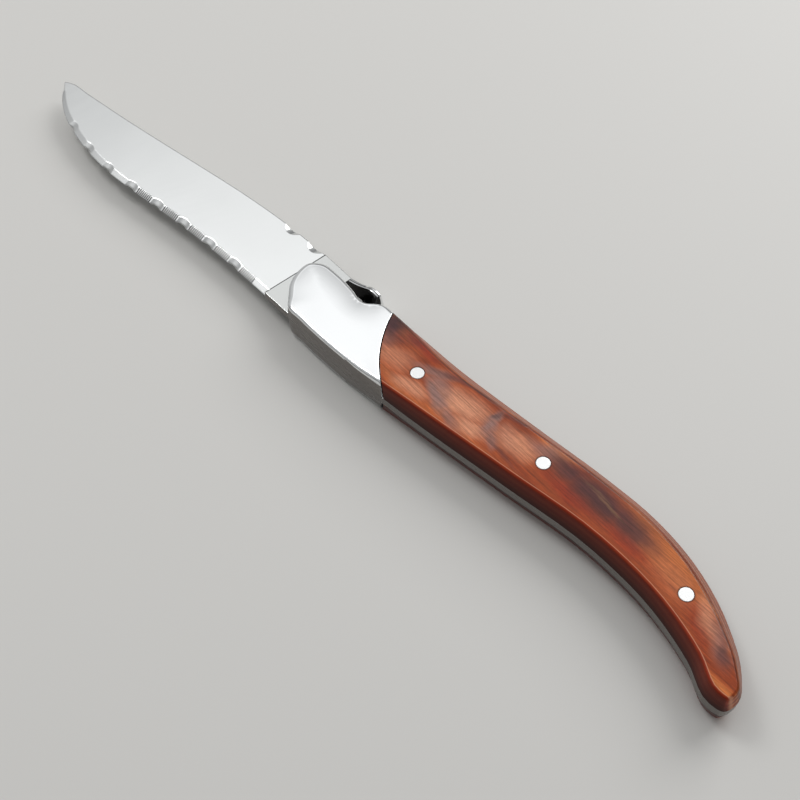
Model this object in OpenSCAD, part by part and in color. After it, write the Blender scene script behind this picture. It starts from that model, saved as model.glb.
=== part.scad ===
// Steak knife with a full tang, lying on its side as it rests on a table.
// X runs from the tip to the butt, Y from the cutting edge to the back, Z up.
// Inside the modules the tip is at X 0 and the middle of the steel is at Z 0.
// The finished knife is then set down on its rear face, with the origin on that face.

/* [Overall] */
// Length over all, from the tip to the butt
overall_len = 230; // [215:1:250]
// Thickness of the handle over both flat faces
handle_t = 10; // [8.5:0.5:13]

/* [Blade] */
// Length of the ground blade, from the tip to the plunge line
blade_len = 94; // [85:1:105]
// Width of the blade where it meets the handle
blade_w = 18; // [15:0.5:21]
// Thickness of the steel blank, the same in blade and tang
blank_t = 2.2; // [1.8:0.1:3]
// Thickness left just behind the cutting bevel
edge_t = 0.8; // [0.5:0.1:1.2]
// Thickness of the cutting edge itself
wire_t = 0.12; // [0.06:0.02:0.3]
// Width of the cutting bevel, ground on the front side only
bevel_w = 1.5; // [1:0.1:2.5]

/* [Serration] */
// Number of scallops along the edge
scallops = 8; // [4:1:9]
// Distance from the tip to the first scallop
scallop_start = 15.8; // [12:0.1:20]
// Distance from one scallop to the next
scallop_pitch = 9.4; // [8:0.1:10.5]
// Radius of the wheel that grinds a scallop
scallop_r = 7; // [5:0.1:9]
// How far a scallop reaches in from the edge on the front side
scallop_reach = 1.9; // [1.7:0.1:2.2]
// Slope of a scallop's floor against the side of the blade, in degrees
scallop_tilt = 28; // [26:1:34]
// Number of scallops at the tip that have plain edge behind them
plain_scallops = 4; // [0:1:4]
// Number of fine teeth behind each of the other scallops
teeth = 9; // [5:1:11]
// Distance from one fine tooth to the next
tooth_pitch = 0.56; // [0.4:0.02:0.7]
// Depth of the groove between two fine teeth, halfway up the bevel
tooth_depth = 0.2; // [0.1:0.02:0.3]
// Slope of the grooves against the side of the blade, in degrees
tooth_tilt = 30; // [26:1:36]

/* [Thumb notches] */
// Distance from the tip to the first notch in the back of the blade
notch_start = 82.4; // [78:0.1:84]
// Distance between the two notches
notch_pitch = 8.2; // [6:0.1:9]
// Radius of the wheel that grinds a notch
notch_r = 4.7; // [3.5:0.1:6]
// How far a notch reaches in from the back on the front side
notch_reach = 2; // [1.6:0.1:2.4]
// Slope of a notch's floor against the side of the blade, in degrees
notch_tilt = 24; // [18:1:40]

/* [Handle] */
// Width of the handle at the bolsters
handle_w = 18; // [15:0.5:21]
// How far the back facet leans in over the height of one side
back_lean = 3.1; // [1.5:0.1:4]
// How far the belly facet leans in over the height of one side
belly_lean = 1.3; // [0.6:0.1:2.5]
// Radius of the ridge around the wooden faces
ridge_r = 0.6; // [0.4:0.1:1]
// Radius of the rounding around the nose of the bolsters
nose_r = 1.1; // [0.8:0.1:2]
// Radius of the curved joint between bolster and wood
joint_r = 34; // [33:1:44]
// Direction from the middle of the joint to the centre of its curve, in degrees
joint_angle = 42; // [37:1:45]
// Width of the seam between bolster and wood
seam = 0.3; // [0.1:0.05:0.4]

/* [Fly plate] */
// Greatest width of the leaf-shaped plate on the back
fly_w = 8.5; // [6:0.1:9]
// Thickness of the plate at its rim
fly_rim = 1; // [0.6:0.1:1.4]
// Depth of the plate's seat in the back of the tang, from the top of the rim
fly_seat = 2.4; // [1.8:0.1:3]
// Rise of the crowned top over the rim
fly_crown = 0.3; // [0.2:0.1:0.8]
// How far the plate's rear end stands above its neck
fly_rise = 0.5; // [0:0.1:0.8]

/* [Rivets and pins] */
// Diameter of the three handle rivets
rivet_d = 3.1; // [2.5:0.1:4]
// Diameter of the hidden bolster dowels
dowel_d = 2.5; // [2:0.1:3]
// Depth of a dowel's blind hole in each bolster
dowel_hole = 2.6; // [2:0.1:3]
// Clearance around rivets and dowels, and at the ends of the fly plate
fit_gap = 0.05; // [0.02:0.01:0.1]

/* [Hidden] */

// One overrun serves every cut
overrun = 1;
// Curved cuts and bores are round, with this many sides in the preview
$fn = 48;
// Straight pieces between two outline points, and along the curved joint
spans = 5;
joint_steps = 14;

handle_len = overall_len - blade_len;
blank_half = blank_t / 2;
handle_half = handle_t / 2;
side_t = handle_half - blank_half;

// Back of the blade from tip to plunge line: shares of blade length and blade width
blade_back_shares = [[0, -0.01], [0.014, 0.035], [0.09, 0.1], [0.22, 0.2], [0.38, 0.34],
    [0.54, 0.49], [0.7, 0.63], [0.85, 0.725], [1, 0.77]];
// Cutting edge from tip to plunge line, in the same shares and with as many points
blade_edge_shares = [[0, -0.03], [0.03, -0.165], [0.1, -0.36], [0.2, -0.485], [0.36, -0.535],
    [0.5, -0.46], [0.64, -0.355], [0.82, -0.26], [1, -0.215]];
// How much of the blank's thickness the back keeps along the blade
taper_shares = [0.4, 0.45, 0.55, 0.62, 0.7, 0.78, 0.86, 0.92, 0.96];
// Share of its size with which the ground blade enters the ricasso, so the plunge stands out
entry_share = 0.97;
// Most of the blade's width that the bevel may take, near the tip
bevel_limit_share = 0.33;
// Half width of a groove between fine teeth, as a share of the tooth pitch
groove_share = 0.28;

// Outline of the handle as shares of handle length and width, then the lean and the
// rounding as shares of their named sizes. It runs from the back behind the fly plate,
// round the butt and along the belly to the foot of the bolster.
back_shares = [[0.167, 0.768, 0.4, 0.3], [0.2, 0.8, 0.55, 0.4], [0.34, 0.85, 1.05, 0.1],
    [0.52, 0.99, 1, 0], [0.64, 1.09, 1, 0], [0.73, 1.12, 1, 0], [0.82, 1.03, 0.95, 0],
    [0.92, 0.73, 0.85, 0]];
butt_shares = [[0.975, 0.43, 1.4, 0], [0.998, 0.17, 0.8, 0], [0.993, -0.02, 0.8, 0],
    [0.972, -0.06, 0.9, 0]];
belly_shares = [[0.915, 0.11, 1, 0], [0.83, 0.265, 1, 0], [0.71, 0.3, 1, 0],
    [0.54, 0.12, 1, 0], [0.35, -0.095, 0.9, 0.1], [0.21, -0.205, 0.2, 0.2],
    [0.1, -0.23, 0.1, 0.3], [0.066, -0.22, 0.1, 0.6]];
// The nose of the bolster, from its foot up to the seat of the fly plate
nose_shares = [[0.05, -0.13, 0.3, 1], [0.026, 0.03, 0.4, 1], [0.012, 0.24, 0.4, 1],
    [0.012, 0.44, 0.2, 1], [0.03, 0.575, 0.2, 1], [0.066, 0.61, 0.2, 0.8],
    [0.106, 0.6, 0.35, 0.4], [0.142, 0.573, 0.25, 0.2], [0.155, 0.685, 0.5, 0.2]];

// The ricasso's corners at the plunge line, as shares of the blade's width
ricasso_back_share = 0.775;
ricasso_belly_share = -0.22;
// The belly corner where the nose of the bolster meets the belly line
foot_share = [0.062, -0.205];

// Seat of the fly plate along the back, as shares of handle length
fly_front_share = 0.072;
fly_rear_share = 0.151;
fly_back_share = 0.775;
// Share of the plate's width that its crown keeps
crown_share = 0.5;
// Half width of the plate from its neck to its round end, as shares of length and spread
fly_leaf_shares = [[0, 0], [0.25, 0.27], [0.5, 0.65], [0.77, 1], [0.91, 0.93], [0.972, 0.64],
    [1, 0.1]];

// Rivets and dowels, as shares of handle length and width
rivet_shares = [[0.313, 0.32], [0.564, 0.575], [0.85, 0.575]];
dowel_shares = [[0.075, 0.2], [0.16, 0.3]];
// Middle of the joint between bolster and wood
joint_share = [0.2355, 0.251];
// The point of the rear face that is the origin, between the first two rivets
rest_share = [0.44, 0.45];

function along(share) = blade_len + share * handle_len;
function across(share) = share * handle_w;
function handle_point(share) = [along(share[0]), across(share[1])];

rivet_points = [for (s = rivet_shares) handle_point(s)];
dowel_points = [for (s = dowel_shares) handle_point(s)];
rest_point = handle_point(rest_share);

// Curve through points: each run is a cubic whose slopes follow the neighbouring runs.
// A point may carry further values after X and Y, which are carried along smoothly.
function flat(p) = [p[0], p[1]];
function run_len(a, b) = norm(flat(b) - flat(a));
function slope_between(a, b, c) =
    let (before = run_len(a, b), after = run_len(b, c))
    ((b - a) * after / before + (c - b) * before / after) / (before + after);
function cubic(a, b, slope_a, slope_b, t) =
    let (reach = run_len(a, b))
    a * (2 * pow(t, 3) - 3 * pow(t, 2) + 1)
        + b * (3 * pow(t, 2) - 2 * pow(t, 3))
        + slope_a * reach * (pow(t, 3) - 2 * pow(t, 2) + t)
        + slope_b * reach * (pow(t, 3) - pow(t, 2));
function slope_open(p, i) =
    i == 0 ? (p[1] - p[0]) / run_len(p[0], p[1])
    : i == len(p) - 1 ? (p[i] - p[i - 1]) / run_len(p[i - 1], p[i])
    : slope_between(p[i - 1], p[i], p[i + 1]);
function open_curve(p) = concat(
    [for (i = [0:len(p) - 2]) for (k = [0:spans - 1])
        cubic(p[i], p[i + 1], slope_open(p, i), slope_open(p, i + 1), k / spans)],
    [p[len(p) - 1]]);
function turned(p, i) = p[(i + len(p)) % len(p)];
function slope_closed(p, i) = slope_between(turned(p, i - 1), turned(p, i), turned(p, i + 1));
function closed_curve(p) =
    [for (i = [0:len(p) - 1]) for (k = [0:spans - 1])
        cubic(p[i], turned(p, i + 1), slope_closed(p, i), slope_closed(p, i + 1), k / spans)];

// Cuts the flat face inside a ring into triangles, one ear at a time. Seen against the
// direction up, the ring runs clockwise.
function turn(a, b, c, up) = cross(b - a, c - b) * up;
function covers(a, b, c, up, p) =
    turn(a, b, p, up) <= 0 && turn(b, c, p, up) <= 0 && turn(c, a, p, up) <= 0;
function is_ear(ring, left, i, up) =
    let (n = len(left), a = ring[left[i]], b = ring[left[(i + 1) % n]],
        c = ring[left[(i + 2) % n]])
    turn(a, b, c, up) < 0
        && [for (k = [3:n - 1]) if (covers(a, b, c, up, ring[left[(i + k) % n]])) k] == [];
function first_ear(ring, left, i, up) =
    i == len(left) ? 0 : is_ear(ring, left, i, up) ? i : first_ear(ring, left, i + 1, up);
function ears(ring, left, up) = len(left) == 3 ? [left]
    : let (n = len(left), i = first_ear(ring, left, 0, up), tip = (i + 1) % n)
    concat([[left[i], left[tip], left[(i + 2) % n]]],
        ears(ring, [for (k = [0:n - 1]) if (k != tip) left[k]], up));

// Solid between rings of points that all have the same count and follow each other along
// the direction up
function ring_sides(count, rings) =
    [for (r = [0:rings - 2]) for (i = [0:count - 1])
        let (j = (i + 1) % count, low = r * count, high = low + count)
        each [[low + i, low + j, high + j], [low + i, high + j, high + i]]];
module skin(rings, up) {
    count = len(rings[0]);
    last = len(rings) - 1;
    all_round = [for (i = [0:count - 1]) i];
    near_cap = [for (f = ears(rings[0], all_round, up)) [f[2], f[1], f[0]]];
    far_cap = [for (f = ears(rings[last], all_round, up)) [for (i = f) last * count + i]];
    polyhedron(points = [for (ring = rings) each ring],
        faces = concat(near_cap, far_cap, ring_sides(count, len(rings))));
}

// The handle's outline, with the lean and the rounding of its side at every point
function sized(shares, lean) = [for (s = shares)
    [along(s[0]), across(s[1]), s[2] * lean, ridge_r + s[3] * (nose_r - ridge_r)]];
outline = closed_curve(concat(sized(back_shares, back_lean),
    sized(concat(butt_shares, belly_shares, nose_shares), belly_lean)));
tang_count = (len(back_shares) + len(butt_shares) + len(belly_shares) - 1) * spans + 1;
tang_points = [for (i = [0:tang_count - 1]) flat(outline[i])];

// The outline drawn in at one height above the tang: a straight lean, then a round ridge
function inward(i) =
    let (step = flat(turned(outline, i + 1)) - flat(turned(outline, i - 1)))
    [step[1], -step[0]] / norm(step);
function drawn_in(p, z) =
    let (rise = z - blank_half, ridge = z - (handle_half - p[3]))
    p[2] * rise / side_t + (ridge > 0 ? p[3] - sqrt(max(pow(p[3], 2) - pow(ridge, 2), 0)) : 0);
function side_point(i, z) =
    let (p = turned(outline, i)) flat(p) + inward(i) * drawn_in(p, z);
level_angles = [0, 30, 52, 70, 82, 90];
levels = concat([blank_half], [for (a = level_angles) handle_half - nose_r * (1 - sin(a))]);

// The joint between bolster and wood is an arc, square to the faces
joint_centre = handle_point(joint_share) + joint_r * [cos(joint_angle), sin(joint_angle)];
function joint_dist(i, z) = norm(side_point(i, z) - joint_centre);
function bearing(v) = let (a = atan2(v[1], v[0])) a < 0 ? a + 360 : a;
// The run of the outline, between two places, in which its side crosses the joint
function joint_run(z, radius, first, last) =
    [for (k = [first:last - 1])
        if ((joint_dist(k, z) - radius) * (joint_dist(k + 1, z) - radius) <= 0) k][0];
function joint_cross(z, radius, first, last) =
    let (i = joint_run(z, radius, first, last), near = joint_dist(i, z),
        share = (radius - near) / (joint_dist(i + 1, z) - near),
        out = side_point(i, z) * (1 - share) + side_point(i + 1, z) * share - joint_centre)
    joint_centre + out * radius / norm(out);
function joint_arc(from, to, radius) =
    let (a = bearing(from - joint_centre), b = bearing(to - joint_centre))
    [for (k = [0:joint_steps]) let (t = a + (b - a) * k / joint_steps)
        joint_centre + radius * [cos(t), sin(t)]];
function raised(points, z) = [for (p = points) [p[0], p[1], z]];

// Where to look for the joint: along the front of the back and along the rear of the belly
back_first = -2 * spans;
back_last = 3 * spans;
belly_first = (len(back_shares) + len(butt_shares) + 3) * spans;
belly_last = belly_first + 3 * spans;
// The last outline points of each piece that stay clear of the joint at every height
bolster_radius = joint_r + seam;
bolster_back_end = min([for (z = levels) joint_run(z, bolster_radius, back_first, back_last)]);
bolster_belly_end =
    max([for (z = levels) joint_run(z, bolster_radius, belly_first, belly_last)]) + 1;
scale_back_end = max([for (z = levels) joint_run(z, joint_r, back_first, back_last)]) + 1;
scale_belly_end = min([for (z = levels) joint_run(z, joint_r, belly_first, belly_last)]);

function bolster_ring(z) =
    let (belly = joint_cross(z, bolster_radius, belly_first, belly_last),
        back = joint_cross(z, bolster_radius, back_first, back_last))
    raised(concat(
        [for (i = [bolster_belly_end:len(outline) + bolster_back_end]) side_point(i, z)],
        joint_arc(back, belly, bolster_radius)), z);
function scale_ring(z) =
    let (belly = joint_cross(z, joint_r, belly_first, belly_last),
        back = joint_cross(z, joint_r, back_first, back_last))
    raised(concat([for (i = [scale_back_end:scale_belly_end]) side_point(i, z)],
        joint_arc(belly, back, joint_r)), z);

module bore(point, diameter, depth) {
    translate([point[0], point[1], -depth]) cylinder(d = diameter, h = 2 * depth);
}

module one_bolster() {
    difference() {
        skin([for (z = levels) bolster_ring(z)], [0, 0, 1]);
        for (p = dowel_points) bore(p, dowel_d + 2 * fit_gap, blank_half + dowel_hole);
    }
}

module one_scale() {
    difference() {
        skin([for (z = levels) scale_ring(z)], [0, 0, 1]);
        for (p = rivet_points) bore(p, rivet_d + 2 * fit_gap, handle_t);
    }
}

// The blade's two outlines run in step, so that a section joins each pair of points
blade_back = open_curve([for (i = [0:len(blade_back_shares) - 1])
    [blade_back_shares[i][0] * blade_len, blade_back_shares[i][1] * blade_w, taper_shares[i]]]);
blade_edge = open_curve([for (s = blade_edge_shares) [s[0] * blade_len, s[1] * blade_w]]);

function blade_section(i) =
    let (back = flat(blade_back[i]), edge = blade_edge[i], width = norm(back - edge),
        back_half = blank_half * blade_back[i][2],
        edge_half = min(edge_t / 2, back_half),
        shoulder = edge + (back - edge) * min(bevel_w / width, bevel_limit_share))
    [[back[0], back[1], -back_half], [edge[0], edge[1], -edge_half],
        [edge[0], edge[1], wire_t - edge_half], [shoulder[0], shoulder[1], edge_half],
        [back[0], back[1], back_half]];

module ground_blade() {
    last = len(blade_back) - 1;
    sections = [for (i = [0:last]) blade_section(i)];
    entry = [for (p = sections[last])
        [p[0] + overrun, p[1] * entry_share, p[2] * entry_share]];
    skin(concat(sections, [entry]), [1, 0, 0]);
}

// The point of a line at one X, and the direction of the line there
function place_on(line, x) =
    let (i = max([for (k = [0:len(line) - 2]) if (line[k][0] <= x) k]),
        a = line[i], b = line[i + 1])
    [x, a[1] + (b[1] - a[1]) * (x - a[0]) / (b[0] - a[0]),
        atan2(b[1] - a[1], b[0] - a[0])];

// A wheel run in from the edge or the back. Its floor rises inward at the given tilt and
// meets the front side, at the height half_t, at the given reach.
module wheel_cut(place, facing, reach, tilt, radius, half_t) {
    translate([place[0], place[1], 0]) rotate([0, 0, place[2] + facing])
        translate([0, reach, half_t]) rotate([tilt, 0, 0])
            translate([0, 0, radius]) rotate([90, 0, 0])
                cylinder(r = radius, h = 2 * (reach / cos(tilt) + overrun), center = true);
}

module scallop_cuts() {
    for (n = [0:scallops - 1])
        wheel_cut(place_on(blade_edge, scallop_start + n * scallop_pitch), 0,
            scallop_reach, scallop_tilt, scallop_r, edge_t / 2);
}

// The fine teeth stand between narrow grooves that run up the bevel
module tooth_cuts() {
    half_groove = tooth_pitch * groove_share;
    for (n = [plain_scallops - 1:scallops - 1]) for (k = [0:teeth - 1]) {
        middle = scallop_start + (n + 0.5) * scallop_pitch;
        place = place_on(blade_edge, middle + (k - (teeth - 1) / 2) * tooth_pitch);
        translate([place[0], place[1], wire_t / 2]) rotate([0, 0, place[2]])
            translate([0, bevel_w / 2, 0]) rotate([tooth_tilt + 90, 0, 0])
                linear_extrude(height = bevel_w + 2 * overrun, center = true)
                    polygon([[0, -tooth_depth], [2 * half_groove, tooth_depth],
                        [-2 * half_groove, tooth_depth]]);
    }
}

module notch_cuts() {
    for (n = [0:1])
        wheel_cut(place_on(blade_back, notch_start + n * notch_pitch), 180,
            notch_reach, notch_tilt, notch_r, blank_half);
}

fly_x = along(fly_front_share);
fly_len = along(fly_rear_share) - fly_x;
fly_top = across(fly_back_share);
fly_foot = fly_top - fly_seat;

// Ricasso and tang are one flat plate with the outline of the finished handle
module tang() {
    difference() {
        translate([0, 0, -blank_half]) linear_extrude(height = blank_t)
            polygon(concat(tang_points, [
                handle_point(foot_share),
                [blade_len, ricasso_belly_share * blade_w],
                [blade_len, ricasso_back_share * blade_w],
                [fly_x, ricasso_back_share * blade_w]]));
        translate([fly_x - fit_gap, fly_foot, -blank_t])
            cube([fly_len + 2 * fit_gap, handle_w, 2 * blank_t]);
        for (p = rivet_points) bore(p, rivet_d + 2 * fit_gap, blank_t);
        for (p = dowel_points) bore(p, dowel_d + 2 * fit_gap, blank_t);
    }
}

module blade() {
    color("#dcdedd") difference() {
        union() {
            ground_blade();
            tang();
        }
        scallop_cuts();
        tooth_cuts();
        notch_cuts();
    }
}

// A wedge that grows out of the tang into a leaf-shaped rim with a crowned top
module fly_plate() {
    spread = fly_w / 2 - blank_half;
    color("#c9cbcb") skin([for (s = open_curve(fly_leaf_shares))
        let (x = fly_x + s[0] * fly_len, half = blank_half + s[1] * spread,
            top = fly_top + s[0] * fly_rise, rim = top - fly_rim, crown = top + fly_crown)
        [[x, fly_foot, blank_half], [x, rim, half], [x, top, half],
            [x, crown, half * crown_share], [x, crown, -half * crown_share],
            [x, top, -half], [x, rim, -half], [x, fly_foot, -blank_half]]], [1, 0, 0]);
}

module bolster_front() {
    color("#eceeef") one_bolster();
}

module bolster_rear() {
    color("#eceeef") mirror([0, 0, 1]) one_bolster();
}

module bolster_dowels() {
    color("#b9bcbd") for (p = dowel_points)
        translate([p[0], p[1], fit_gap - blank_half - dowel_hole])
            cylinder(d = dowel_d, h = blank_t + 2 * dowel_hole - 2 * fit_gap);
}

module scale_front() {
    color("#a2502c") one_scale();
}

module scale_rear() {
    color("#a2502c") mirror([0, 0, 1]) one_scale();
}

module handle_rivets() {
    color("#f2f2f2") for (p = rivet_points)
        translate([p[0], p[1], -handle_half]) cylinder(d = rivet_d, h = handle_t);
}

module set_down() {
    translate([-rest_point[0], -rest_point[1], handle_half]) children();
}

set_down() blade();
set_down() fly_plate();
set_down() bolster_front();
set_down() bolster_rear();
set_down() bolster_dowels();
set_down() scale_front();
set_down() scale_rear();
set_down() handle_rivets();
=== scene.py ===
"""Looks of a steak knife with a full tang, lying on its side on a pale table.

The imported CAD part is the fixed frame. Each node gets a finished copy of its mesh, or pins
cut to the same size, and every piece gets the material of the real one.
Lengths are in metres. X runs from the tip to the butt, Y from the edge to the back, Z up.
"""
import math

import bmesh
import bpy
from mathutils import Matrix, Vector


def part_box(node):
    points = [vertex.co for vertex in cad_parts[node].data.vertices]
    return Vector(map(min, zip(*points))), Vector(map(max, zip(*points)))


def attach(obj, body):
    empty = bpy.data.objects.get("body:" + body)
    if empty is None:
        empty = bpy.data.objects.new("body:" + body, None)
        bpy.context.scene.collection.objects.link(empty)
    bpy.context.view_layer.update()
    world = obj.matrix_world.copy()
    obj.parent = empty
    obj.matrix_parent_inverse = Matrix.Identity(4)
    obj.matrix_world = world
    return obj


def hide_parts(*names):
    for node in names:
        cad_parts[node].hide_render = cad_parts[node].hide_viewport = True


bl_info = {
    "name": "Steak knife looks",
    "version": (1, 0, 0),
    "blender": (4, 5, 0),
    "location": "3D View > Sidebar > Knife",
    "description": "Finishes the packed steak knife and lights it on a pale table",
    "category": "Object",
}

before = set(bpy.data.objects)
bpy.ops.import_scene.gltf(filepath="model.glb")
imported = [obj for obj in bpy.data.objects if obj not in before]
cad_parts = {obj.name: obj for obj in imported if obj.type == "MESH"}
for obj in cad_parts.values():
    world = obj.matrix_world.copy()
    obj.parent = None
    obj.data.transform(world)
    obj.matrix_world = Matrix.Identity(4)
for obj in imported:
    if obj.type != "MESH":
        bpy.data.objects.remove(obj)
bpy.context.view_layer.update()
MM = 0.001
# Points closer than this are one point, and cuts this close to a point pass through it
WELD = 0.0005 * MM
CUT_SLACK = 0.001 * MM
# Heights this close count as equal, and a face with such a normal counts as level
SAME_HEIGHT = 0.001 * MM
LEVEL = 0.9999

# Heights of the knife's middle and of its front face above the table
MID_HEIGHT = 5 * MM
FRONT_HEIGHT = 10 * MM
RIVET_CENTRES = [(-0.01727, -0.00234), (0.01686, 0.00225), (0.05576, 0.00225)]
DOWEL_CENTRES = [(-0.04964, -0.0045), (-0.03808, -0.0027)]
# The curved joint between bolster and wood, and how close to it a face or edge is part of it
JOINT_CENTRE = Vector((-0.002545, 0.019168))
JOINT_RADIUS = 0.034
JOINT_FACE = 0.45 * MM
JOINT_EDGE = 0.5 * MM
# Middles of the five groups of fine teeth, and half the length of a group
TOOTH_GROUPS = [-105.14 * MM, -95.74 * MM, -86.34 * MM, -76.94 * MM, -67.54 * MM]
TOOTH_GROUP_HALF = 2.6 * MM
# The plunge line, where the ground blade ends and the ricasso begins
PLUNGE = -59.84 * MM
# Fly plate: depth of the rim's foot below the top, at the rear, and how far it slopes up; below the
# foot the steel gets painted shade
FLY_FOOT = 1.35 * MM
FLY_RISE = 0.5 * MM
# Lower and upper bound of the painted shadow line around the rim, above its foot
FLY_LINE = (0.4 * MM, 0.58 * MM)
FLY_ROUND = 0.2 * MM
# How deep the buffing moves a bolster's rim, how near to the wood it fades out, and how deep
# a point may be that still counts as one of the flat face
BUFF_DEPTH = 1.5 * MM
BUFF_FADE = 5 * MM
ON_FACE = 0.01 * MM


def linear(code):
    """A colour written as sRGB hex, such as "#a04020", as linear red, green, blue and alpha."""
    parts = [int(code[i:i + 2], 16) / 255 for i in (1, 3, 5)]
    return [p / 12.92 if p <= 0.04045 else ((p + 0.055) / 1.055) ** 2.4 for p in parts] + [1.0]


# ---------------------------------------------------------------- settings

def length(name, description, default):
    return bpy.props.FloatProperty(name=name, description=description, default=default,
                                   min=0, unit="LENGTH", precision=5)


def colour(name, description, code):
    return bpy.props.FloatVectorProperty(name=name, description=description, size=4,
                                         default=linear(code), min=0, max=1, subtype="COLOR")


class KnifeSizes(bpy.types.PropertyGroup):
    """Sizes of the finishing work."""
    crown_drop: length("Bolster crown", "How far the buffed face falls away at its rim", 0.4 * MM)
    crown_reach: length("Crown reach", "How far in from the rim the face is rounded", 7 * MM)
    grid_pitch: length("Grid", "Spacing of the cuts that let the bolster face curve", 1 * MM)
    rim_round: length("Bolster rim", "Rounding of the rim of each bolster", 0.8 * MM)
    rivet_round: length("Rivet rim", "Rounding of the rim of each rivet head", 0.12 * MM)
    # The plunge line's dark strip is a painted shadow of the step between blade and ricasso
    plunge_shadow: length("Plunge line", "Width of the dark line where the grinding ends", 0.22 * MM)


class KnifeColours(bpy.types.PropertyGroup):
    """Colours of the steel, the wood and the table."""
    blade: colour("Blade", "Satin stainless steel", "#e4e6e6")
    polished: colour("Bolster", "Mirror-polished stainless steel", "#eef0f1")
    rivet: colour("Rivet", "Sanded rivet heads", "#d9dada")
    ricasso: colour("Ricasso", "Brushed steel between blade and bolster", "#cfd1d0")
    # tang: sanded steel, its dark tone partly painted shade
    tang: colour("Tang", "Sanded edge of the tang between the scales", "#898480")
    # tooth and groove: partly painted highlight on the ridges and painted shade in the grooves
    tooth: colour("Tooth", "Bright ridges of the fine teeth", "#fbfcfc")
    groove: colour("Groove", "Steel freshly ground between the fine teeth", "#8e8f8e")
    glue: colour("Glue line", "Black glue between bolster and wood", "#0d0b0a")
    # Painted shade: this dark steel stands for the shade under the fly plate and the shadow at the
    # plunge
    painted_shade: colour("Recess", "Dark steel under the fly plate and along the plunge", "#2b2a29")
    wood_light: colour("Light wood", "Lightest layers of the wood", "#c26e38")
    wood_mid: colour("Mid wood", "Most layers of the wood", "#a64e23")
    wood_dark: colour("Dark wood", "Darkest layers of the wood", "#86330f")
    # pale is painted light: the sheen spots on the front face and the highlight on the belly crest
    pale: colour("Pale wood", "Pinkish places where the wood took little dye", "#dc9c7a")
    # red is also painted shade on the belly ridge, besides the red dye spots of the figure
    red: colour("Red", "Places where the wood took most of the dye", "#93290f")
    # mauve: bands of the wood's figure, their greyish tint partly painted sheen
    mauve: colour("Mauve", "Soft mauve bands of the figure", "#8f6a61")
    figure: colour("Figure", "Darkest, purple-brown figure of the wood", "#492a2c")
    streak: colour("Streak", "Pale streaks in the dark figure", "#946e4e")
    table: colour("Table", "Plain pale table top", "#cbcac7")


# ---------------------------------------------------------------- meshes

def merged_copy(node):
    """A bmesh of a CAD node with its loose triangles joined."""
    bm = bmesh.new()
    bm.from_mesh(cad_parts[node].data)
    bmesh.ops.remove_doubles(bm, verts=bm.verts, dist=WELD)
    return bm


def join_flat(bm, angle):
    """Joins triangles whose faces turn by less than the angle into larger faces."""
    bmesh.ops.join_triangles(bm, faces=bm.faces[:], angle_face_threshold=math.radians(angle),
                             angle_shape_threshold=math.pi)


def cut(bm, place, normal):
    """Divides the faces along a plane through the place."""
    bmesh.ops.bisect_plane(bm, geom=bm.verts[:] + bm.edges[:] + bm.faces[:], plane_co=place,
                           plane_no=normal, dist=CUT_SLACK)


def round_edges(bm, edges, offset, segments, clamp_overlap=True):
    """Rounds the edges."""
    bmesh.ops.bevel(bm, geom=edges, offset=offset, offset_type="OFFSET", segments=segments,
                    profile=0.5, affect="EDGES", material=-1, clamp_overlap=clamp_overlap)


def shade(bm, sharp_angle):
    """Smooth shading, with edges kept sharp where the faces turn by more than the angle."""
    for face in bm.faces:
        face.smooth = True
    for edge in bm.edges:
        edge.smooth = edge.is_manifold and edge.calc_face_angle() < math.radians(sharp_angle)


def add_object(name, data):
    """Makes an object with the data and puts it in the scene."""
    thing = bpy.data.objects.new(name, data)
    bpy.context.scene.collection.objects.link(thing)
    return thing


def mesh_object(name, bm, materials):
    """Makes an object from the bmesh, with its materials, and frees the bmesh."""
    mesh = bpy.data.meshes.new(name)
    bm.to_mesh(mesh)
    bm.free()
    for material in materials:
        mesh.materials.append(material)
    return add_object(name, mesh)


def finish_piece(name, bm, materials, node):
    """Makes the finished piece on the one body, in place of its CAD node."""
    piece = mesh_object(name, bm, materials)
    weighted = piece.modifiers.new("Weighted normals", "WEIGHTED_NORMAL")
    weighted.keep_sharp = True
    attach(piece, "root")
    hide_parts(node)


def outer_height(node):
    """Height of a bolster's flat outer face."""
    low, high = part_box(node)
    return high.z if node == "bolster_front" else low.z


def smoothstep(value):
    """Soft step from 0 to 1."""
    value = min(max(value, 0), 1)
    return value * value * (3 - 2 * value)


# ---------------------------------------------------------------- materials

def add_node(tree, kind, sockets, **settings):
    """Adds a node with its settings; each socket gets a link or a value."""
    node = tree.nodes.new(kind)
    for name, value in settings.items():
        setattr(node, name, value)
    for name, value in sockets.items():
        if isinstance(value, bpy.types.NodeSocket):
            tree.links.new(value, node.inputs[name])
        else:
            node.inputs[name].default_value = value
    return node


def new_material(name, **values):
    """A material with its main shader's uniform values set, and its tree and shader."""
    material = bpy.data.materials.new(name)
    material.use_nodes = True
    shader = material.node_tree.nodes["Principled BSDF"]
    for socket, value in values.items():
        shader.inputs[socket.replace("_", " ")].default_value = value
    return material, material.node_tree, shader


def set_stops(ramp, stops):
    """Gives a colour ramp its stops, as places and linear colours."""
    elements = ramp.color_ramp.elements
    while len(elements) < len(stops):
        elements.new(0.5)
    for element, (place, stop) in zip(elements, stops):
        element.position = place
        element.color = stop


def grey(level):
    """A neutral linear colour."""
    return (level, level, level, 1.0)


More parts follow.
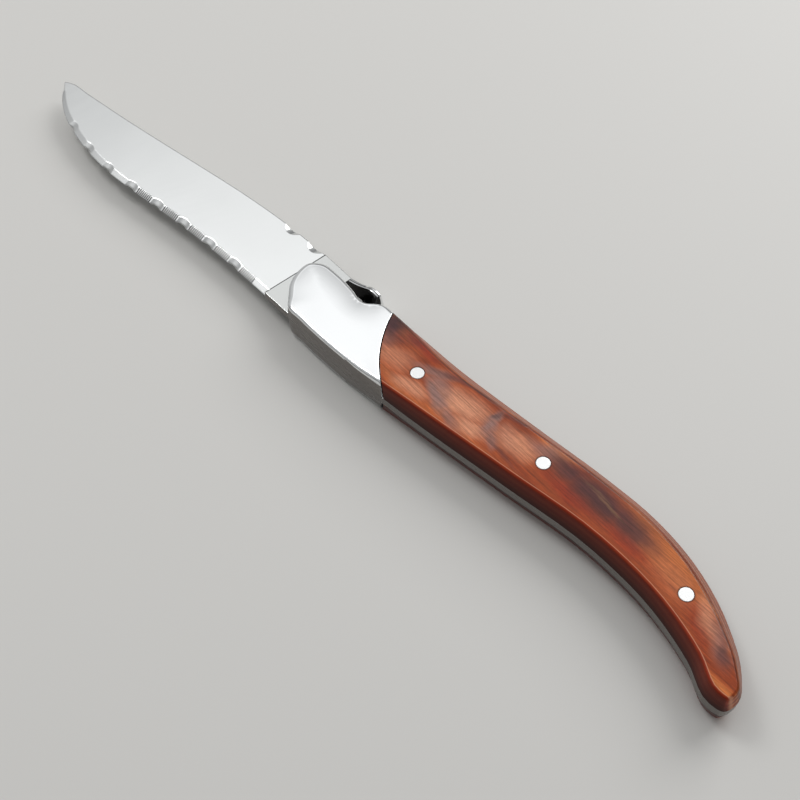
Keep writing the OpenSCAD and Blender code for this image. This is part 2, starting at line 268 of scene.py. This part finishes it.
def steel(name, base, roughness, line_scale, line_strength, tone, rounding=0.12 * MM):
    """Stainless steel with the fine lines and the rounding that its finishing left.

    The tone is the share of the base colour that its darkest clouds keep.
    """
    material, tree, shader = new_material(name, Metallic=1.0)
    place = add_node(tree, "ShaderNodeTexCoord", {}).outputs["Object"]
    lined = add_node(tree, "ShaderNodeMapping", {"Vector": place, "Scale": line_scale})
    lines = add_node(tree, "ShaderNodeTexNoise", {
        "Vector": lined.outputs[0], "Scale": 1.0, "Detail": 3.0, "Roughness": 0.6})
    cloud = add_node(tree, "ShaderNodeTexNoise", {
        "Vector": place, "Scale": 60.0, "Detail": 2.0, "Roughness": 0.5})
    rough = add_node(tree, "ShaderNodeMapRange", {
        "Value": lines.outputs["Fac"], "From Min": 0.3, "From Max": 0.7,
        "To Min": roughness[0], "To Max": roughness[1]})
    shade_ramp = add_node(tree, "ShaderNodeValToRGB", {"Fac": cloud.outputs["Fac"]})
    dark = [c * tone for c in base[:3]] + [1.0]
    set_stops(shade_ramp, [(0.3, dark), (0.7, list(base))])
    edge = add_node(tree, "ShaderNodeBevel", {"Radius": rounding}, samples=8)
    bump = add_node(tree, "ShaderNodeBump", {
        "Height": lines.outputs["Fac"], "Strength": line_strength, "Distance": 0.002 * MM,
        "Normal": edge.outputs["Normal"]})
    tree.links.new(shade_ramp.outputs["Color"], shader.inputs["Base Color"])
    tree.links.new(rough.outputs["Result"], shader.inputs["Roughness"])
    tree.links.new(bump.outputs["Normal"], shader.inputs["Normal"])
    return material


def satin_stainless():
    """Blade steel, ground and then satin polished across the blade: pale grey, with soft
    reflections and hardly visible lines from edge to back."""
    base = bpy.context.scene.knife_colours.blade
    # Polishing grit leaves lines of about 0.05 mm; they are drawn 0.3 mm wide so they show
    return steel("satin_stainless", base, (0.17, 0.22), (3300, 60, 60), 0.12, 0.97, 0.32 * MM)


def brushed_stainless():
    """Ricasso, brushed but not polished with the blade: a little darker and duller."""
    base = bpy.context.scene.knife_colours.ricasso
    # Brush lines of about 0.1 mm, drawn 0.3 mm wide so that they show
    return steel("brushed_stainless", base, (0.2, 0.26), (3300, 60, 60), 0.08, 0.95, 0.2 * MM)


def tooth_stainless():
    """Narrow ridges of the fine teeth, rubbed bright by the last polish; their bright colour is
    partly a painted highlight.
    """
    base = bpy.context.scene.knife_colours.tooth
    return steel("tooth_stainless", base, (0.16, 0.22), (900, 900, 900), 0.1, 0.97, 0.03 * MM)


def ground_stainless():
    """The grooves between the fine teeth, cut by a narrow wheel and left unpolished: rougher, and
    their grey is partly painted shade in the grooves.
    """
    base = bpy.context.scene.knife_colours.groove
    return steel("ground_stainless", base, (0.4, 0.5), (3300, 900, 900), 0.3, 0.85, 0.03 * MM)


def sanded_stainless():
    """Edge of the tang, sanded flush with the wood, also used on the belly side of the bolsters:
    duller grey with bright borders. Its darker colour is partly painted shade for the dark
    reflection there.
    """
    base = bpy.context.scene.knife_colours.tang
    return steel("sanded_stainless", base, (0.22, 0.34), (90, 900, 900), 0.2, 0.9, 0.3 * MM)


def mirror_stainless():
    """Bolster steel, buffed to a mirror: nearly white, with a faint swirl from the wheel."""
    base = bpy.context.scene.knife_colours.polished
    return steel("mirror_stainless", base, (0.07, 0.12), (90, 400, 400), 0.2, 0.98, 0.3 * MM)


def rivet_stainless():
    """Rivet heads, sanded flush with the wood: evenly pale, with no sharp reflections."""
    base = bpy.context.scene.knife_colours.rivet
    return steel("rivet_stainless", base, (0.42, 0.52), (900, 900, 900), 0.2, 0.98)


def painted_shade_stainless():
    """Painted shade: dark glossy steel on the flank under the fly plate, on the shadow line around
    its rim and at the plunge line.
    """
    base = bpy.context.scene.knife_colours.painted_shade
    return steel("painted_shade_stainless", base, (0.1, 0.2), (300, 900, 900), 0.3, 0.8)


def black_glue():
    """Epoxy glue between bolster and wood, tinted black: a thin dark line when sanded flush."""
    material, tree, shader = new_material("black_glue", Roughness=0.45)
    place = add_node(tree, "ShaderNodeTexCoord", {}).outputs["Object"]
    grain = add_node(tree, "ShaderNodeTexNoise", {"Vector": place, "Scale": 3000.0})
    ramp = add_node(tree, "ShaderNodeValToRGB", {"Fac": grain.outputs["Fac"]})
    base = list(bpy.context.scene.knife_colours.glue)
    set_stops(ramp, [(0.3, [c * 0.6 for c in base[:3]] + [1.0]), (0.7, base)])
    tree.links.new(ramp.outputs["Color"], shader.inputs["Base Color"])
    return material


# Spots on the front face, one list for each colour: the pale spots are painted sheen where the
# gloss would shine, the others make up the figure. Each has its centre, half length and half width
# in mm, its turn in degrees and its depth of colour
# Painted sheen: pale pink spots that lighten the front face where its gloss would shine
SHEEN_SPOTS = [
    (-5.0, -0.8, 11.0, 5.0, 14, 0.75), (9.5, 1.2, 9.0, 4.5, 8, 0.6),
    (-24.0, -3.2, 9.0, 4.5, 10, 0.4), (52.0, 2.6, 10.0, 4.0, -12, 0.12),
    (-16.0, -6.0, 8.0, 2.6, 12, 0.6), (0.5, -3.2, 6.0, 3.0, 10, 0.7),
    (62.0, 1.5, 7.0, 3.0, -35, 0.5)]
REDS = [
    (-22.5, 3.3, 8.0, 2.2, -6, 0.75), (27.0, 1.0, 13.0, 2.6, 2, 0.62),
    (40.0, 1.4, 11.0, 2.6, 0, 0.6), (62.0, -1.5, 9.0, 2.4, -35, 0.35)]
# Mauve bands of the figure; their greyish tint is partly painted sheen
MAUVES = [
    (-31.0, 0.0, 7.0, 5.0, -60, 0.65), (-15.0, 0.7, 7.0, 2.0, 22, 0.8),
    (-12.0, -0.6, 6.0, 3.2, -15, 0.8), (-10.5, -2.9, 8.0, 2.6, -24, 1.0),
    (-4.0, -5.0, 6.0, 1.8, -15, 0.7), (1.9, 2.6, 3.4, 2.2, 75, 0.95),
    (2.9, 0.0, 4.2, 2.4, -65, 0.95), (5.2, -2.0, 4.6, 1.8, -30, 0.7),
    (5.0, 1.4, 5.0, 4.0, 0, 0.12), (15.0, 4.8, 6.0, 3.0, 12, 0.7),
    (67.0, -0.6, 7.0, 3.0, -40, 0.6)]
FIGURE = [
    (-30.6, 2.6, 7.5, 6.0, -25, 1.0), (-26.0, 3.2, 6.0, 2.6, -10, 0.5),
    (-11.0, 2.7, 9.0, 0.9, 18, 0.6), (-3.0, 5.0, 7.0, 0.8, 14, 0.5),
    (1.8, 3.2, 2.6, 1.2, 60, 0.55), (9.5, -2.8, 7.0, 0.8, -4, 0.5),
    (6.0, 5.7, 6.5, 0.9, 27, 0.5), (21.5, 4.8, 9.5, 4.0, 4, 0.85),
    (30.5, 4.9, 15.5, 5.2, 1, 0.92), (38.5, 5.0, 11.5, 4.6, -2, 0.88),
    (69.0, -1.8, 4.0, 2.0, -40, 0.6)]
STREAKS = [(33.0, 5.0, 6.5, 0.5, -3, 0.45), (29.4, 5.7, 5.5, 0.4, -3, 0.3)]
# How deep the spots reach into the wood
SPOT_DEPTH = 6 * MM
VENEER = 0.55 * MM
# Inner and outer radius of the dark line of resin around a rivet
RESIN_LINE = (1.65 * MM, 1.9 * MM)
# How far above or below the tang's middle the painted shade on the leaning side is darkest, and
# where the side has its full tone
SIDE_SHADE_FADE = (1.0 * MM, 3.8 * MM)


def spots(tree, place, table):
    """How strongly any of the table's soft spots covers a place, from 0 to 1."""
    total = None
    for x, y, half_long, half_wide, turn, depth in table:
        spot = add_node(tree, "ShaderNodeMapping", {
            "Vector": place, "Location": (x * MM, y * MM, FRONT_HEIGHT),
            "Rotation": (0, 0, math.radians(turn)),
            "Scale": (half_long * MM, half_wide * MM, SPOT_DEPTH)}, vector_type="TEXTURE")
        soft = add_node(tree, "ShaderNodeTexGradient", {"Vector": spot.outputs[0]},
                        gradient_type="SPHERICAL")
        strong = add_node(tree, "ShaderNodeMapRange", {
            "Value": soft.outputs["Fac"], "From Max": 0.85, "To Max": depth},
            interpolation_type="SMOOTHSTEP").outputs["Result"]
        total = strong if total is None else add_node(
            tree, "ShaderNodeMath", {0: total, 1: strong}, operation="MAXIMUM").outputs[0]
    return total


def resin_wood():
    """Handle wood: thin veneers pressed together with resin, dyed red-brown, then sanded and buffed
    to a soft gloss. The layers show as lines along the sides and as figure on the faces. Painted
    sheen lightens the front face, a painted highlight marks the belly crest, and painted shade
    darkens the ridges and the belly side."""
    colours = bpy.context.scene.knife_colours
    material, tree, shader = new_material(
        "resin_wood", Roughness=0.42, IOR=1.5, Specular_IOR_Level=0.15, Coat_Weight=0.22,
        Coat_Roughness=0.15)
    place = add_node(tree, "ShaderNodeTexCoord", {}).outputs["Object"]

    # Waviness of the veneers: swellings about 40 mm long and 12 mm wide
    wavy = add_node(tree, "ShaderNodeMapping", {"Vector": place, "Scale": (24, 80, 80)})
    swell = add_node(tree, "ShaderNodeTexNoise", {
        "Vector": wavy.outputs[0], "Scale": 1.0, "Detail": 2.0, "Roughness": 0.45})
    # Veneers, counted from the table up, lifted by the swellings
    height = add_node(tree, "ShaderNodeSeparateXYZ", {"Vector": place})
    count = add_node(tree, "ShaderNodeMath", {0: height.outputs["Z"], 1: 1 / VENEER},
                     operation="MULTIPLY")
    layer = add_node(tree, "ShaderNodeMath", {0: swell.outputs["Fac"], 1: 3.2, 2: count.outputs[0]},
                     operation="MULTIPLY_ADD")
    tone = add_node(tree, "ShaderNodeTexNoise", {
        "W": layer.outputs[0], "Scale": 0.9, "Detail": 2.0, "Roughness": 0.6},
        noise_dimensions="1D")
    veneer = add_node(tree, "ShaderNodeValToRGB", {"Fac": tone.outputs["Fac"]})
    set_stops(veneer, [(0.3, list(colours.wood_dark)), (0.47, list(colours.wood_mid)),
                       (0.66, list(colours.wood_light))])

    # The figure's edges wander by about half a millimetre
    drift_noise = add_node(tree, "ShaderNodeTexNoise", {
        "Vector": place, "Scale": 180.0, "Detail": 2.0, "Roughness": 0.5})
    drift = add_node(tree, "ShaderNodeVectorMath", {
        0: drift_noise.outputs["Color"], 1: (0.5, 0.5, 0.5)}, operation="SUBTRACT")
    drifted = add_node(tree, "ShaderNodeVectorMath", {
        0: drift.outputs[0], 1: (0.006, 0.002, 0.0), 2: place}, operation="MULTIPLY_ADD")
    figured = veneer.outputs["Color"]
    for table, tint in ((SHEEN_SPOTS, colours.pale), (REDS, colours.red), (MAUVES, colours.mauve),
                        (FIGURE, colours.figure), (STREAKS, colours.streak)):
        figured = add_node(tree, "ShaderNodeMix", {
            "Factor": spots(tree, drifted.outputs[0], table), "A": figured, "B": list(tint)},
            data_type="RGBA").outputs["Result"]

    # Grain lines along the handle, 0.5 mm apart and about 12 mm long, and flecks 0.3 mm wide
    veined = figured
    for scale, detail, low, high in (((80, 1900, 1900), 5.0, 0.62, 1.3),
                                     ((500, 3400, 3400), 2.0, 0.84, 1.14)):
        grained = add_node(tree, "ShaderNodeMapping", {"Vector": place, "Scale": scale})
        grain = add_node(tree, "ShaderNodeTexNoise", {
            "Vector": grained.outputs[0], "Scale": 1.0, "Detail": detail, "Roughness": 0.7})
        grain_tone = add_node(tree, "ShaderNodeMapRange", {
            "Value": grain.outputs["Fac"], "From Min": 0.32, "From Max": 0.68,
            "To Min": low, "To Max": high})
        veined = add_node(tree, "ShaderNodeVectorMath", {
            0: veined, "Scale": grain_tone.outputs["Result"]}, operation="SCALE").outputs[0]

    # A dark line of resin fills the gap around each rivet
    flat = add_node(tree, "ShaderNodeVectorMath", {0: place, 1: (1, 1, 0)}, operation="MULTIPLY")
    nearest = None
    for x, y in RIVET_CENTRES:
        away = add_node(tree, "ShaderNodeVectorMath", {0: flat.outputs[0], 1: (x, y, 0)},
                        operation="DISTANCE").outputs["Value"]
        nearest = away if nearest is None else add_node(
            tree, "ShaderNodeMath", {0: nearest, 1: away}, operation="MINIMUM").outputs[0]
    ring = add_node(tree, "ShaderNodeMapRange", {
        "Value": nearest, "From Min": RESIN_LINE[0], "From Max": RESIN_LINE[1],
        "To Min": 0.5, "To Max": 1})
    ringed = add_node(tree, "ShaderNodeVectorMath", {
        0: veined, "Scale": ring.outputs["Result"]}, operation="SCALE")

    # Painted shade, by the direction a surface faces: a dark line along the back ridge, a darker
    # red on the belly ridge and nearly black below it
    facing = add_node(tree, "ShaderNodeNewGeometry", {}).outputs["Normal"]
    side = add_node(tree, "ShaderNodeSeparateXYZ", {"Vector": facing})
    # Share of painted shade, growing as the surface turns towards the belly
    ridge = add_node(tree, "ShaderNodeMapRange", {
        "Value": side.outputs["Y"], "From Min": -0.15, "From Max": -0.5, "To Max": 0.85})
    shade_reddened = add_node(tree, "ShaderNodeMix", {
        "Factor": ridge.outputs["Result"], "A": ringed.outputs[0], "B": list(colours.red)},
        data_type="RGBA")
    turned = add_node(tree, "ShaderNodeMapRange", {"Value": side.outputs["Y"], "From Min": -1.0})
    # A painted highlight along the very crest of the belly ridge, in the pale colour
    crest_highlight = add_node(tree, "ShaderNodeValToRGB", {"Fac": turned.outputs["Result"]})
    set_stops(crest_highlight, [(0.3, grey(0)), (0.37, grey(0.6)), (0.42, grey(0.6)), (0.47, grey(0))])
    crest_lit = add_node(tree, "ShaderNodeMix", {
        "Factor": crest_highlight.outputs["Color"], "A": shade_reddened.outputs["Result"],
        "B": list(colours.pale)}, data_type="RGBA")
    # Painted shade by facing: darker on the belly side and along the back ridge, full tone on the
    # face
    depth = add_node(tree, "ShaderNodeValToRGB", {"Fac": turned.outputs["Result"]})
    set_stops(depth, [(0.03, grey(0.4)), (0.12, grey(0.6)), (0.22, grey(1.0)), (0.53, grey(1.0)),
                      (0.64, grey(0.45)), (0.74, grey(0.55)), (0.8, grey(0.7))])
    # Painted shade: the leaning side also darkens from the ridge down to the tang
    rise = add_node(tree, "ShaderNodeMath", {0: height.outputs["Z"], 1: MID_HEIGHT},
                    operation="SUBTRACT")
    off_tang = add_node(tree, "ShaderNodeMath", {0: rise.outputs[0]}, operation="ABSOLUTE")
    height_shade = add_node(tree, "ShaderNodeMapRange", {
        "Value": off_tang.outputs[0], "From Min": SIDE_SHADE_FADE[0], "From Max": SIDE_SHADE_FADE[1],
        "To Min": 0.04})
    side_shade = add_node(tree, "ShaderNodeMix", {
        "Factor": ridge.outputs["Result"], "A": 1.0, "B": height_shade.outputs["Result"]})
    shaded = add_node(tree, "ShaderNodeMix", {
        "Factor": 1.0, "A": crest_lit.outputs["Result"], "B": depth.outputs["Color"]},
        data_type="RGBA", blend_type="MULTIPLY")
    painted_side_shade = add_node(tree, "ShaderNodeVectorMath", {
        0: shaded.outputs["Result"], "Scale": side_shade.outputs["Result"]}, operation="SCALE")

    bump = add_node(tree, "ShaderNodeBump", {
        "Height": grain.outputs["Fac"], "Strength": 0.25, "Distance": 0.01 * MM})
    tree.links.new(painted_side_shade.outputs[0], shader.inputs["Base Color"])
    tree.links.new(bump.outputs["Normal"], shader.inputs["Normal"])
    return material


# ---------------------------------------------------------------- pieces

# Places of the materials in the blade's list
SATIN, GROUND, TOOTH, BRUSHED, SANDED, PAINTED_SHADE = range(6)


def blade_material(face, shadow_end):
    """Which of the blade's materials a face gets, from its place and its direction."""
    place, normal = face.calc_center_median(), face.normal
    level = abs(normal.z) > 0.5
    # A strip just past the plunge gets painted shadow, for the step between blade and ricasso
    if PLUNGE < place.x < shadow_end and level:
        return PAINTED_SHADE
    if place.x > PLUNGE:
        return BRUSHED if level else SANDED
    if place.y < 0 and any(abs(place.x - group) < TOOTH_GROUP_HALF for group in TOOTH_GROUPS):
        # The walls of a groove face along the edge, the ridges up the bevel
        if abs(normal.x) > 0.35 and 0.05 < normal.z < 0.95:
            return GROUND
        if 0.5 < normal.z < 0.97:
            return TOOTH
    return SATIN


class KNIFE_OT_blade(bpy.types.Operator):
    """Blade, ricasso and tang: ground flats, scallops, fine teeth and thumb notches"""
    bl_idname = "knife.blade"
    bl_label = "Blade"

    def execute(self, context):
        bm = merged_copy("blade")
        shadow_end = PLUNGE + context.scene.knife_sizes.plunge_shadow
        cut(bm, (shadow_end, 0, 0), (1, 0, 0))
        shade(bm, 12)
        for face in bm.faces:
            face.material_index = blade_material(face, shadow_end)
        finish_piece("ground_blade", bm,
                     [satin_stainless(), ground_stainless(), tooth_stainless(),
                      brushed_stainless(), sanded_stainless(), painted_shade_stainless()],
                     "blade")
        return {"FINISHED"}


class KNIFE_OT_fly_plate(bpy.types.Operator):
    """Leaf-shaped plate on the back, bright on its rim and crown, with painted shade below and a
    painted shadow line around the rim
    """
    bl_idname = "knife.fly_plate"
    bl_label = "Fly plate"

    def execute(self, context):
        bm = merged_copy("fly_plate")
        join_flat(bm, 12)
        low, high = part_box("fly_plate")
        slope = FLY_RISE / (high.x - low.x)
        foot = high.y - FLY_FOOT
        for above in FLY_LINE:
            cut(bm, (high.x, foot + above, 0), (-slope, 1, 0))
        rim = [e for e in bm.edges if e.is_manifold
               and any(f.normal.y > 0.6 for f in e.link_faces)
               and any(abs(f.normal.y) < 0.3 and f.normal.x > -0.5 for f in e.link_faces)]
        round_edges(bm, rim, FLY_ROUND, 2)
        shade(bm, 28)
        for face in bm.faces:
            place = face.calc_center_median()
            height = place.y - (foot - slope * (high.x - place.x))
            line = FLY_LINE[0] < height < FLY_LINE[1]
            end = face.normal.x > 0.6 and height < FLY_LINE[1]
            # Below the foot, the line around the rim and the low rear end get painted shade
            face.material_index = int(height < 0 or line or end)
        finish_piece("leaf_fly_plate", bm, [mirror_stainless(), painted_shade_stainless()],
                     "fly_plate")
        return {"FINISHED"}


def to_joint(point):
    """Distance of a point from the curved joint between bolster and wood, seen from above."""
    return abs((point.xy - JOINT_CENTRE).length - JOINT_RADIUS)


def glue_joint(bm):
    """Black glue on the upright faces along the joint between bolster and wood."""
    for face in bm.faces:
        at_joint = all(to_joint(v.co) < JOINT_FACE for v in face.verts)
        face.material_index = int(at_joint and abs(face.normal.z) < 0.1)


def flat_rim(bm, outer):
    """Edges around a bolster's flat face, without those along the wood."""
    return [e for e in bm.edges if e.is_manifold
            and any(abs(f.normal.z) > LEVEL
                    and abs(f.calc_center_median().z - outer) < SAME_HEIGHT
                    for f in e.link_faces)
            and any(abs(f.normal.z) < LEVEL for f in e.link_faces)
            and any(to_joint(v.co) > JOINT_EDGE for v in e.verts)]


def buffed_bolster(node, sizes):
    """A bolster whose flat face falls away softly towards its rim, but not at the wood."""
    bm = merged_copy(node)
    low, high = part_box(node)
    outer = outer_height(node)
    inward = -1 if node == "bolster_front" else 1
    join_flat(bm, 1)
    round_edges(bm, flat_rim(bm, outer), sizes.rim_round, 4)
    rim = [(e.verts[0].co.xy.copy(), e.verts[1].co.xy.copy()) for e in flat_rim(bm, outer)]
    for axis in (0, 1):
        direction = Vector((axis == 0, axis == 1, 0))
        place = low[axis] + sizes.grid_pitch / 2
        while place < high[axis]:
            cut(bm, direction * place, direction)
            place += sizes.grid_pitch
    for vert in bm.verts:
        depth = abs(vert.co.z - outer)
        if depth > BUFF_DEPTH:
            continue
        flat_place = vert.co.xy
        # Points on the flat face move by their distance from the rim, those below it fully
        away = sizes.crown_reach if depth < ON_FACE else 0
        for a, b in rim:
            run = b - a
            share = min(max((flat_place - a).dot(run) / run.length_squared, 0), 1)
            away = min(away, (flat_place - a - run * share).length)
        fall = sizes.crown_drop * (1 - away / sizes.crown_reach) ** 2
        fall *= smoothstep(to_joint(vert.co) / BUFF_FADE) * smoothstep(1 - depth / BUFF_DEPTH)
        vert.co.z += inward * fall
    shade(bm, 40)
    return bm


class KNIFE_OT_bolsters(bpy.types.Operator):
    """Both bolsters, buffed so that their faces fall away towards the rim"""
    bl_idname = "knife.bolsters"
    bl_label = "Bolsters"

    def execute(self, context):
        sizes = context.scene.knife_sizes
        materials = [mirror_stainless(), black_glue(), sanded_stainless()]
        for node in ("bolster_front", "bolster_rear"):
            bm = buffed_bolster(node, sizes)
            glue_joint(bm)
            outer = outer_height(node)
            # The belly side below the rounded rim gets the sanded steel: partly a sanded finish,
            # partly painted shade, since only the side facing the belly gets it
            for face in bm.faces:
                below = abs(face.calc_center_median().z - outer)
                if face.normal.y < -0.6 and below > sizes.rim_round + sizes.crown_drop:
                    face.material_index = 2
            finish_piece("buffed_" + node, bm, materials, node)
        return {"FINISHED"}


class KNIFE_OT_scales(bpy.types.Operator):
    """Both wooden scales, with their ridge and leaning sides"""
    bl_idname = "knife.scales"
    bl_label = "Scales"

    def execute(self, context):
        material, glue = resin_wood(), black_glue()
        for node in ("scale_front", "scale_rear"):
            bm = merged_copy(node)
            shade(bm, 38)
            glue_joint(bm)
            finish_piece("wood_" + node, bm, [material, glue], node)
        return {"FINISHED"}


class KNIFE_OT_rivets(bpy.types.Operator):
    """Three handle rivets and two hidden dowels, cut from rod with their rims rounded"""
    bl_idname = "knife.rivets"
    bl_label = "Rivets and dowels"

    def execute(self, context):
        material = rivet_stainless()
        rounding = context.scene.knife_sizes.rivet_round
        for name, node, centres in (("polished_rivets", "handle_rivets", RIVET_CENTRES),
                                    ("bolster_pins", "bolster_dowels", DOWEL_CENTRES)):
            low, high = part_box(node)
            radius = (high.x - low.x - abs(centres[-1][0] - centres[0][0])) / 2
            bm = bmesh.new()
            for x, y in centres:
                bmesh.ops.create_cone(
                    bm, cap_ends=True, segments=64, radius1=radius, radius2=radius,
                    depth=high.z - low.z,
                    matrix=Matrix.Translation((x, y, (low.z + high.z) / 2)))
            rims = [e for e in bm.edges
                    if abs(e.verts[0].co.z - e.verts[1].co.z) < SAME_HEIGHT]
            round_edges(bm, rims, rounding, 3, clamp_overlap=False)
            shade(bm, 50)
            finish_piece(name, bm, [material], node)
        return {"FINISHED"}


# ---------------------------------------------------------------- stage

# Brightness of the plain surroundings by direction: a pale wall and ceiling towards the tip,
# darker walls elsewhere. The level is multiplied by a factor for the X, Y and Z of a direction.
SURROUNDINGS_LEVEL = 1.15
SURROUNDINGS = {
    "X": [(-1, 0.7), (-0.82, 0.5), (-0.73, 0.58), (-0.66, 0.82), (-0.6, 0.92), (-0.5, 1.0),
          (-0.4, 1.0), (-0.27, 0.74), (-0.17, 0.58), (0.1, 0.47), (0.4, 0.42), (1, 0.42)],
    "Y": [(-1, 0.35), (-0.6, 0.48), (-0.42, 0.68), (-0.3, 0.82), (-0.15, 0.97), (0, 1.0),
          (0.4, 1.0), (0.46, 0.86), (0.54, 0.6), (0.7, 0.45), (1, 0.33)],
    "Z": [(0, 0.5), (0.3, 0.72), (0.55, 1.0)]}

# Soft lamps: name, place, side length in metres and power in watts
LAMPS = [("softbox_tip", (-0.48, -0.08, 0.64), 0.24, 1.3),
         ("softbox_back", (-0.1, 0.72, 0.54), 0.6, 4.6)]
TABLE_HALF = 3

# The camera: focal length in mm, place, and directions to its right, up and back
CAMERA_LENS = 53.8
CAMERA_PLACE = (0.09697, -0.1049, 0.2181)
CAMERA_AXES = ((0.6497, 0.7602, 0), (-0.6219, 0.5316, 0.5751), (0.4372, -0.3737, 0.8181))


def lamp(name, place, size, watts):
    """A square soft lamp that faces the knife."""
    light = bpy.data.lights.new(name, "AREA")
    light.shape = "SQUARE"
    light.size = size
    light.energy = watts
    holder = add_object(name, light)
    holder.location = place
    holder.rotation_euler = (-Vector(place)).to_track_quat("-Z", "Y").to_euler()


class KNIFE_OT_stage(bpy.types.Operator):
    """Pale table, soft lamps, plain surroundings and the camera"""
    bl_idname = "knife.stage"
    bl_label = "Stage"

    def execute(self, context):
        scene = context.scene
        scene.view_settings.view_transform = "Standard"

        bm = bmesh.new()
        bmesh.ops.create_grid(bm, x_segments=1, y_segments=1, size=TABLE_HALF)
        material, tree, shader = new_material("table_laminate", Roughness=0.6)
        shader.inputs["Base Color"].default_value = scene.knife_colours.table
        table = mesh_object("table", bm, [material])

        world = bpy.data.worlds.new("studio")
        scene.world = world
        world.use_nodes = True
        tree = world.node_tree
        way = add_node(tree, "ShaderNodeTexCoord", {}).outputs["Generated"]
        ways = add_node(tree, "ShaderNodeSeparateXYZ", {"Vector": way})
        total = grey(SURROUNDINGS_LEVEL)
        for axis, stops in SURROUNDINGS.items():
            share = add_node(tree, "ShaderNodeMapRange", {
                "Value": ways.outputs[axis], "From Min": -1.0})
            ramp = add_node(tree, "ShaderNodeValToRGB", {"Fac": share.outputs["Result"]})
            set_stops(ramp, [((place + 1) / 2, grey(level)) for place, level in stops])
            total = add_node(tree, "ShaderNodeMix", {
                "Factor": 1.0, "A": total, "B": ramp.outputs["Color"]},
                data_type="RGBA", blend_type="MULTIPLY").outputs["Result"]
        tree.links.new(total, tree.nodes["Background"].inputs["Color"])

        for settings in LAMPS:
            lamp(*settings)

        camera = bpy.data.cameras.new("camera")
        camera.lens = CAMERA_LENS
        camera.clip_start = 0.01
        holder = add_object("camera", camera)
        turn = Matrix(CAMERA_AXES).transposed().to_4x4()
        holder.matrix_world = Matrix.Translation(CAMERA_PLACE) @ turn
        scene.camera = holder
        return {"FINISHED"}


class KNIFE_PT_panel(bpy.types.Panel):
    """Lists the pieces, with their sizes and colours"""
    bl_idname = "KNIFE_PT_panel"
    bl_label = "Steak knife"
    bl_space_type = "VIEW_3D"
    bl_region_type = "UI"
    bl_category = "Knife"

    def draw(self, context):
        layout = self.layout
        for operator in OPERATORS:
            layout.operator(operator.bl_idname)
        for settings in (context.scene.knife_sizes, context.scene.knife_colours):
            for name in settings.__annotations__:
                layout.prop(settings, name)


OPERATORS = (KNIFE_OT_stage, KNIFE_OT_blade, KNIFE_OT_fly_plate, KNIFE_OT_bolsters,
             KNIFE_OT_scales, KNIFE_OT_rivets)
CLASSES = (KnifeSizes, KnifeColours) + OPERATORS + (KNIFE_PT_panel,)


def register():
    for cls in CLASSES:
        bpy.utils.register_class(cls)
    bpy.types.Scene.knife_sizes = bpy.props.PointerProperty(type=KnifeSizes)
    bpy.types.Scene.knife_colours = bpy.props.PointerProperty(type=KnifeColours)


def unregister():
    del bpy.types.Scene.knife_colours
    del bpy.types.Scene.knife_sizes
    for cls in reversed(CLASSES):
        bpy.utils.unregister_class(cls)


def main():
    register()
    bpy.ops.knife.stage()
    bpy.ops.knife.blade()
    bpy.ops.knife.fly_plate()
    bpy.ops.knife.bolsters()
    bpy.ops.knife.scales()
    bpy.ops.knife.rivets()


if __name__ == "__main__":
    main()
